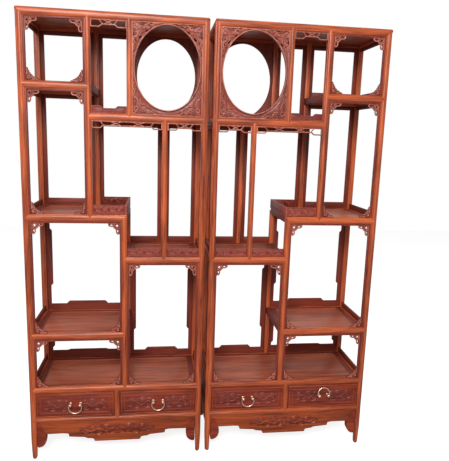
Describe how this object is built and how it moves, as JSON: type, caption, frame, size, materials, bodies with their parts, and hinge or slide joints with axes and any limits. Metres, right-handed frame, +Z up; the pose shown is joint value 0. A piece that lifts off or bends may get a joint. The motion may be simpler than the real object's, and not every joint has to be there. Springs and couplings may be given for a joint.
{
  "type": "display bookcase pair",
  "caption": "Mirrored pair of stepped Chinese display bookcases with moon gate panels, fretwork, and drawers with bail pulls.",
  "frame": {"origin": "middle of the pair's footprint on the floor", "axes": "+Z up, the fronts face -Y, +X towards the right cabinet seen from the front"},
  "size_m": [1.604, 0.371, 2],
  "materials": {
    "rosewood_frame": "gloss",
    "rosewood_shelves": "gloss",
    "rosewood_carving": "satin",
    "rosewood_drawer_fronts": "gloss",
    "drawer_wood": "satin",
    "brass_pulls": "satin"
  },
  "bodies": {
    "cabinets": {"left_outer_posts": "rosewood_frame", "left_inner_posts": "rosewood_frame", "left_upper_divider_posts": "rosewood_frame", "left_gate_divider_posts": "rosewood_frame", "left_middle_divider_posts": "rosewood_frame", "left_lower_divider_posts": "rosewood_frame", "left_top_frame": "rosewood_shelves", "left_square_niche_shelf": "rosewood_shelves", "left_moon_gate_shelf": "rosewood_shelves", "left_stepped_shelf": "rosewood_shelves", "left_tall_niche_shelf": "rosewood_shelves", "left_open_bay_shelf": "rosewood_shelves", "left_drawer_case_top": "rosewood_shelves", "left_base_frame": "rosewood_shelves", "left_drawer_case": "drawer_wood", "left_moon_gate_panel": "rosewood_carving", "left_rear_gate_panel": "rosewood_carving", "left_opening_linings": "rosewood_carving", "left_corner_spandrels": "rosewood_carving", "left_fret_friezes": "rosewood_carving", "left_shelf_fences": "rosewood_carving", "left_gallery_frames": "rosewood_frame", "left_aprons": "rosewood_frame", "left_apron_brackets": "rosewood_frame", "right_outer_posts": "rosewood_frame", "right_inner_posts": "rosewood_frame", "right_upper_divider_posts": "rosewood_frame", "right_gate_divider_posts": "rosewood_frame", "right_middle_divider_posts": "rosewood_frame", "right_lower_divider_posts": "rosewood_frame", "right_top_frame": "rosewood_shelves", "right_square_niche_shelf": "rosewood_shelves", "right_moon_gate_shelf": "rosewood_shelves", "right_stepped_shelf": "rosewood_shelves", "right_tall_niche_shelf": "rosewood_shelves", "right_open_bay_shelf": "rosewood_shelves", "right_drawer_case_top": "rosewood_shelves", "right_base_frame": "rosewood_shelves", "right_drawer_case": "drawer_wood", "right_moon_gate_panel": "rosewood_carving", "right_rear_gate_panel": "rosewood_carving", "right_opening_linings": "rosewood_carving", "right_corner_spandrels": "rosewood_carving", "right_fret_friezes": "rosewood_carving", "right_shelf_fences": "rosewood_carving", "right_gallery_frames": "rosewood_frame", "right_aprons": "rosewood_frame", "right_apron_brackets": "rosewood_frame"},
    "left_outer_drawer": {"left_outer_drawer_box": "drawer_wood", "left_outer_drawer_front": "rosewood_drawer_fronts"},
    "left_outer_drawer_bail": {"left_outer_drawer_bail": "brass_pulls"},
    "left_inner_drawer": {"left_inner_drawer_box": "drawer_wood", "left_inner_drawer_front": "rosewood_drawer_fronts"},
    "left_inner_drawer_bail": {"left_inner_drawer_bail": "brass_pulls"},
    "right_outer_drawer": {"right_outer_drawer_box": "drawer_wood", "right_outer_drawer_front": "rosewood_drawer_fronts"},
    "right_outer_drawer_bail": {"right_outer_drawer_bail": "brass_pulls"},
    "right_inner_drawer": {"right_inner_drawer_box": "drawer_wood", "right_inner_drawer_front": "rosewood_drawer_fronts"},
    "right_inner_drawer_bail": {"right_inner_drawer_bail": "brass_pulls"}
  },
  "joints": [
    {"name": "left_outer_drawer_slide", "type": "slide", "parent": "cabinets", "child": "left_outer_drawer", "axis": [0, -1, 0], "range_m": [0, 0.2]},
    {"name": "left_outer_drawer_bail_swing", "type": "hinge", "parent": "left_outer_drawer", "child": "left_outer_drawer_bail", "pos_m": [-0.59475, -0.178, 0.273], "axis": [-1, 0, 0], "range_deg": [-12, 194]},
    {"name": "left_inner_drawer_slide", "type": "slide", "parent": "cabinets", "child": "left_inner_drawer", "axis": [0, -1, 0], "range_m": [0, 0.2]},
    {"name": "left_inner_drawer_bail_swing", "type": "hinge", "parent": "left_inner_drawer", "child": "left_inner_drawer_bail", "pos_m": [-0.21525, -0.178, 0.273], "axis": [-1, 0, 0], "range_deg": [-12, 194]},
    {"name": "right_outer_drawer_slide", "type": "slide", "parent": "cabinets", "child": "right_outer_drawer", "axis": [0, -1, 0], "range_m": [0, 0.2]},
    {"name": "right_outer_drawer_bail_swing", "type": "hinge", "parent": "right_outer_drawer", "child": "right_outer_drawer_bail", "pos_m": [0.59475, -0.178, 0.273], "axis": [-1, 0, 0], "range_deg": [-206, 0]},
    {"name": "right_inner_drawer_slide", "type": "slide", "parent": "cabinets", "child": "right_inner_drawer", "axis": [0, -1, 0], "range_m": [0, 0.2]},
    {"name": "right_inner_drawer_bail_swing", "type": "hinge", "parent": "right_inner_drawer", "child": "right_inner_drawer_bail", "pos_m": [0.21525, -0.178, 0.273], "axis": [-1, 0, 0], "range_deg": [-12, 194]}
  ]
}
